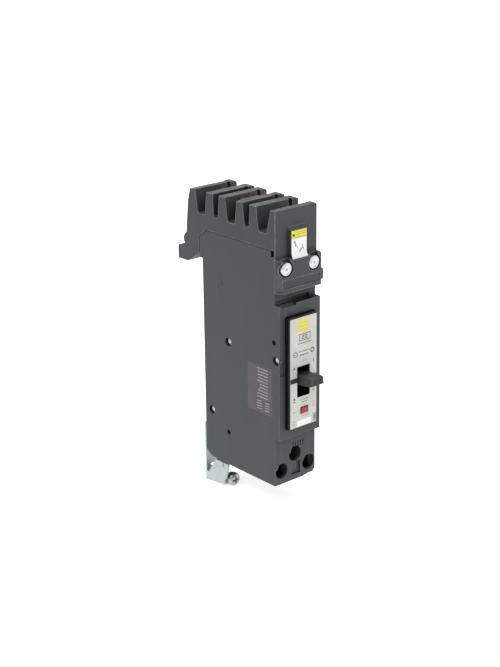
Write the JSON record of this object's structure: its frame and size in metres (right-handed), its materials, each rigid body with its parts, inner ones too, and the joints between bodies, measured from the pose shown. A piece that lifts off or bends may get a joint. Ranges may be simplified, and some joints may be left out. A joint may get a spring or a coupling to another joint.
{
  "type": "ground-fault circuit breaker",
  "caption": "Narrow one-pole plug-on moulded-case breaker with finned line head and rear hook, toggle handle, test button, three terminals and a zinc mounting bracket with captive screw.",
  "frame": {"origin": "on the pan face of the mounting bracket, on the module's centreline, level with the load end of the case", "axes": "+X across the module to the right seen from the front, +Y towards the pan behind, +Z towards the line end"},
  "size_m": [0.0409, 0.1275, 0.2219],
  "materials": {
    "phenolic": "fine moulded satin",
    "handle_phenolic": "fine moulded satin",
    "gloss_black": "gloss",
    "side_print": "printed film",
    "label_print": "printed film",
    "sticker_print": "printed film",
    "zinc": "bright zinc plate",
    "steel": "bright",
    "copper": "bare copper",
    "silver": "bright",
    "fibre": "pressed fibre",
    "board": "solder mask",
    "lead_black": "insulated wire",
    "lead_white": "insulated wire",
    "nylon": "moulded",
    "button_red": "semi gloss"
  },
  "bodies": {
    "case": {"case_frame": "phenolic", "left_cover": "phenolic", "right_cover": "phenolic", "line_head": "phenolic", "escutcheon": "gloss_black", "rating_label": "label_print", "head_sticker": "sticker_print", "side_label": "side_print", "head_screw_left": "zinc", "head_screw_right": "zinc", "case_rivet_middle": "steel", "case_rivet_front": "steel", "case_rivet_rear": "steel", "pan_bracket": "zinc", "bracket_rivet_left": "steel", "bracket_rivet_right": "steel", "jaw_front": "copper", "jaw_rear": "copper", "jaw_spring_front": "steel", "jaw_spring_rear": "steel", "line_strap": "copper", "fixed_contact": "silver", "arc_side_left": "fibre", "arc_side_right": "fibre", "arc_plate_1": "steel", "arc_plate_2": "steel", "arc_plate_3": "steel", "arc_plate_4": "steel", "load_power_lug": "copper", "load_neutral_lug": "copper", "panel_neutral_lug": "copper", "handle_pin": "steel", "contact_arm_pin": "steel", "operating_spring": "steel", "trip_lever_pin": "steel", "armature_pin": "steel", "bimetal": "steel", "flexible_braid": "copper", "load_lead": "lead_black", "neutral_lead": "lead_white", "sensor_toroid": "fibre", "circuit_board": "board", "solenoid_frame": "steel", "solenoid_coil": "copper", "button_spring": "steel"},
    "handle": {"toggle_handle": "handle_phenolic"},
    "arm": {"contact_arm": "copper", "moving_contact": "silver"},
    "button": {"test_button": "button_red"},
    "trip": {"trip_lever": "steel"},
    "plunger": {"solenoid_plunger": "steel"},
    "flap": {"armature": "steel"},
    "retainer": {"screw_retainer": "nylon"},
    "pan_screw": {"mounting_screw": "zinc"},
    "load_power_screw_body": {"load_power_screw": "zinc"},
    "load_power_clamp_body": {"load_power_clamp": "steel"},
    "load_neutral_screw_body": {"load_neutral_screw": "zinc"},
    "load_neutral_clamp_body": {"load_neutral_clamp": "steel"},
    "panel_neutral_screw_body": {"panel_neutral_screw": "zinc"},
    "panel_neutral_clamp_body": {"panel_neutral_clamp": "steel"}
  },
  "joints": [
    {"name": "handle_turn", "type": "hinge", "parent": "case", "child": "handle", "pos_m": [0, -0.0662, 0.078], "axis": [-1, 0, 0], "range_deg": [-24, 14], "deforming": ["operating_spring"]},
    {"name": "contact_arm_turn", "type": "hinge", "parent": "case", "child": "arm", "pos_m": [0, -0.0494, 0.09], "axis": [-1, 0, 0], "range_deg": [-18, 10]},
    {"name": "test_button_press", "type": "slide", "parent": "case", "child": "button", "axis": [0, 1, 0], "range_m": [0, 0.0013], "stiffness_N_per_m": 300, "springref_m": -0.002, "deforming": ["button_spring"]},
    {"name": "trip_lever_turn", "type": "hinge", "parent": "case", "child": "trip", "pos_m": [0, -0.0322, 0.072], "axis": [-1, 0, 0], "range_deg": [0, 12]},
    {"name": "plunger_slide", "type": "slide", "parent": "case", "child": "plunger", "axis": [0, -1, 0], "range_m": [0, 0.0026]},
    {"name": "armature_turn", "type": "hinge", "parent": "case", "child": "flap", "pos_m": [0, -0.0197, 0.112], "axis": [1, 0, 0], "range_deg": [0, 7]},
    {"name": "retainer_slide", "type": "slide", "parent": "case", "child": "retainer", "axis": [0, -1, 0], "range_m": [0, 0.0065]},
    {"name": "mounting_screw_turn", "type": "hinge", "parent": "retainer", "child": "pan_screw", "pos_m": [-0.012, -0.0122, -0.015], "axis": [0, 1, 0], "continuous": true},
    {"name": "load_power_screw_turn", "type": "hinge", "parent": "case", "child": "load_power_screw_body", "pos_m": [0.0127, -0.0682, 0.01], "axis": [0, 1, 0], "range_deg": [0, 1805]},
    {"name": "load_power_clamp_slide", "type": "slide", "parent": "case", "child": "load_power_clamp_body", "axis": [0, 1, 0], "range_m": [0, 0.004]},
    {"name": "load_neutral_screw_turn", "type": "hinge", "parent": "case", "child": "load_neutral_screw_body", "pos_m": [-0.0127, -0.0682, 0.01], "axis": [0, 1, 0], "range_deg": [0, 1805]},
    {"name": "load_neutral_clamp_slide", "type": "slide", "parent": "case", "child": "load_neutral_clamp_body", "axis": [0, 1, 0], "range_m": [0, 0.004]},
    {"name": "panel_neutral_screw_turn", "type": "hinge", "parent": "case", "child": "panel_neutral_screw_body", "pos_m": [0, -0.0682, 0.02], "axis": [0, 1, 0], "range_deg": [0, 1805]},
    {"name": "panel_neutral_clamp_slide", "type": "slide", "parent": "case", "child": "panel_neutral_clamp_body", "axis": [0, 1, 0], "range_m": [0, 0.004]}
  ],
  "couplings": [
    {"joint": "contact_arm_turn", "follows": "handle_turn", "ratio": 0.7},
    {"joint": "trip_lever_turn", "follows": "plunger_slide", "rad_per_m": 80},
    {"joint": "armature_turn", "follows": "plunger_slide", "rad_per_m": 40},
    {"joint": "load_power_screw_turn", "follows": "load_power_clamp_slide", "rad_per_m": 7854},
    {"joint": "load_neutral_screw_turn", "follows": "load_neutral_clamp_slide", "rad_per_m": 7854},
    {"joint": "panel_neutral_screw_turn", "follows": "panel_neutral_clamp_slide", "rad_per_m": 7854}
  ]
}
